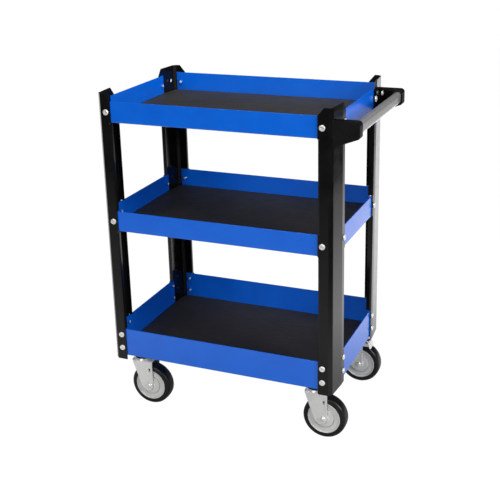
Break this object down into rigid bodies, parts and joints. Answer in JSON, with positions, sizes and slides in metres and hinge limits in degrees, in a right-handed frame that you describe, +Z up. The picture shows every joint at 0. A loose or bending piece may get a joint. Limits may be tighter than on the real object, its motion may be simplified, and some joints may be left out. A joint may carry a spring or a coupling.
{
  "type": "tool cart",
  "caption": "Open sheet-metal tool cart: lined trays bolted between folded corner posts, an oval push handle at one end, and swivel casters underneath.",
  "frame": {"origin": "on the floor, under the middle of the whole cart's bounding box", "axes": "+Z up; +X along the cart's width, towards the push handle; -Y is the front, +Y the rear"},
  "size_m": [0.7458, 0.4664, 0.948],
  "materials": {
    "blue_powder_coat": "gloss blue powder coat",
    "black_powder_coat": "gloss black powder coat",
    "black_plastic": "satin black moulded plastic",
    "mat_foam": "dark grey foam mat, matt",
    "aluminium": "satin anodised",
    "zinc": "bright zinc plate",
    "hub_grey": "light grey moulded plastic",
    "tyre_rubber": "black rubber, smooth tread"
  },
  "bodies": {
    "frame": {"post_front_left": "black_powder_coat", "post_front_right": "black_powder_coat", "post_rear_left": "black_powder_coat", "post_rear_right": "black_powder_coat", "top_tray": "blue_powder_coat", "top_liner": "mat_foam", "middle_tray": "blue_powder_coat", "middle_liner": "mat_foam", "bottom_tray": "blue_powder_coat", "bottom_liner": "mat_foam", "top_bolt_front_left_end": "zinc", "top_bolt_front_left_side": "zinc", "top_bolt_front_right_end": "zinc", "top_bolt_front_right_side": "zinc", "top_bolt_rear_left_end": "zinc", "top_bolt_rear_left_side": "zinc", "top_bolt_rear_right_end": "zinc", "top_bolt_rear_right_side": "zinc", "middle_bolt_front_left_end": "zinc", "middle_bolt_front_left_side": "zinc", "middle_bolt_front_right_end": "zinc", "middle_bolt_front_right_side": "zinc", "middle_bolt_rear_left_end": "zinc", "middle_bolt_rear_left_side": "zinc", "middle_bolt_rear_right_end": "zinc", "middle_bolt_rear_right_side": "zinc", "bottom_bolt_front_left_end": "zinc", "bottom_bolt_front_left_side": "zinc", "bottom_bolt_front_right_end": "zinc", "bottom_bolt_front_right_side": "zinc", "bottom_bolt_rear_left_end": "zinc", "bottom_bolt_rear_left_side": "zinc", "bottom_bolt_rear_right_end": "zinc", "bottom_bolt_rear_right_side": "zinc", "handle_bracket_front": "black_plastic", "handle_bolt_front": "zinc", "handle_bracket_rear": "black_plastic", "handle_bolt_rear": "zinc", "handle_tube": "aluminium", "caster_plate_front_left": "zinc", "caster_plate_front_right": "zinc", "caster_plate_rear_left": "zinc", "caster_plate_rear_right": "zinc"},
    "swivel_front_left": {"caster_fork_front_left": "zinc", "caster_axle_front_left": "zinc"},
    "wheel_front_left": {"wheel_hub_front_left": "hub_grey", "tyre_front_left": "tyre_rubber"},
    "swivel_front_right": {"caster_fork_front_right": "zinc", "caster_axle_front_right": "zinc"},
    "wheel_front_right": {"wheel_hub_front_right": "hub_grey", "tyre_front_right": "tyre_rubber"},
    "swivel_rear_left": {"caster_fork_rear_left": "zinc", "caster_axle_rear_left": "zinc"},
    "wheel_rear_left": {"wheel_hub_rear_left": "hub_grey", "tyre_rear_left": "tyre_rubber"},
    "swivel_rear_right": {"caster_fork_rear_right": "zinc", "caster_axle_rear_right": "zinc"},
    "wheel_rear_right": {"wheel_hub_rear_right": "hub_grey", "tyre_rear_right": "tyre_rubber"}
  },
  "joints": [
    {"name": "swivel_turn_front_left", "type": "hinge", "parent": "frame", "child": "swivel_front_left", "pos_m": [-0.30165, -0.172, 0.15], "axis": [0, 0, 1], "continuous": true},
    {"name": "wheel_roll_front_left", "type": "hinge", "parent": "swivel_front_left", "child": "wheel_front_left", "pos_m": [-0.27425, -0.172, 0.0625], "axis": [0, 1, 0], "continuous": true},
    {"name": "swivel_turn_front_right", "type": "hinge", "parent": "frame", "child": "swivel_front_right", "pos_m": [0.24235, -0.172, 0.15], "axis": [0, 0, 1], "continuous": true},
    {"name": "wheel_roll_front_right", "type": "hinge", "parent": "swivel_front_right", "child": "wheel_front_right", "pos_m": [0.26975, -0.172, 0.0625], "axis": [0, 1, 0], "continuous": true},
    {"name": "swivel_turn_rear_left", "type": "hinge", "parent": "frame", "child": "swivel_rear_left", "pos_m": [-0.30165, 0.172, 0.15], "axis": [0, 0, 1], "continuous": true},
    {"name": "wheel_roll_rear_left", "type": "hinge", "parent": "swivel_rear_left", "child": "wheel_rear_left", "pos_m": [-0.27425, 0.172, 0.0625], "axis": [0, 1, 0], "continuous": true},
    {"name": "swivel_turn_rear_right", "type": "hinge", "parent": "frame", "child": "swivel_rear_right", "pos_m": [0.24235, 0.172, 0.15], "axis": [0, 0, 1], "continuous": true},
    {"name": "wheel_roll_rear_right", "type": "hinge", "parent": "swivel_rear_right", "child": "wheel_rear_right", "pos_m": [0.26975, 0.172, 0.0625], "axis": [0, 1, 0], "continuous": true}
  ]
}
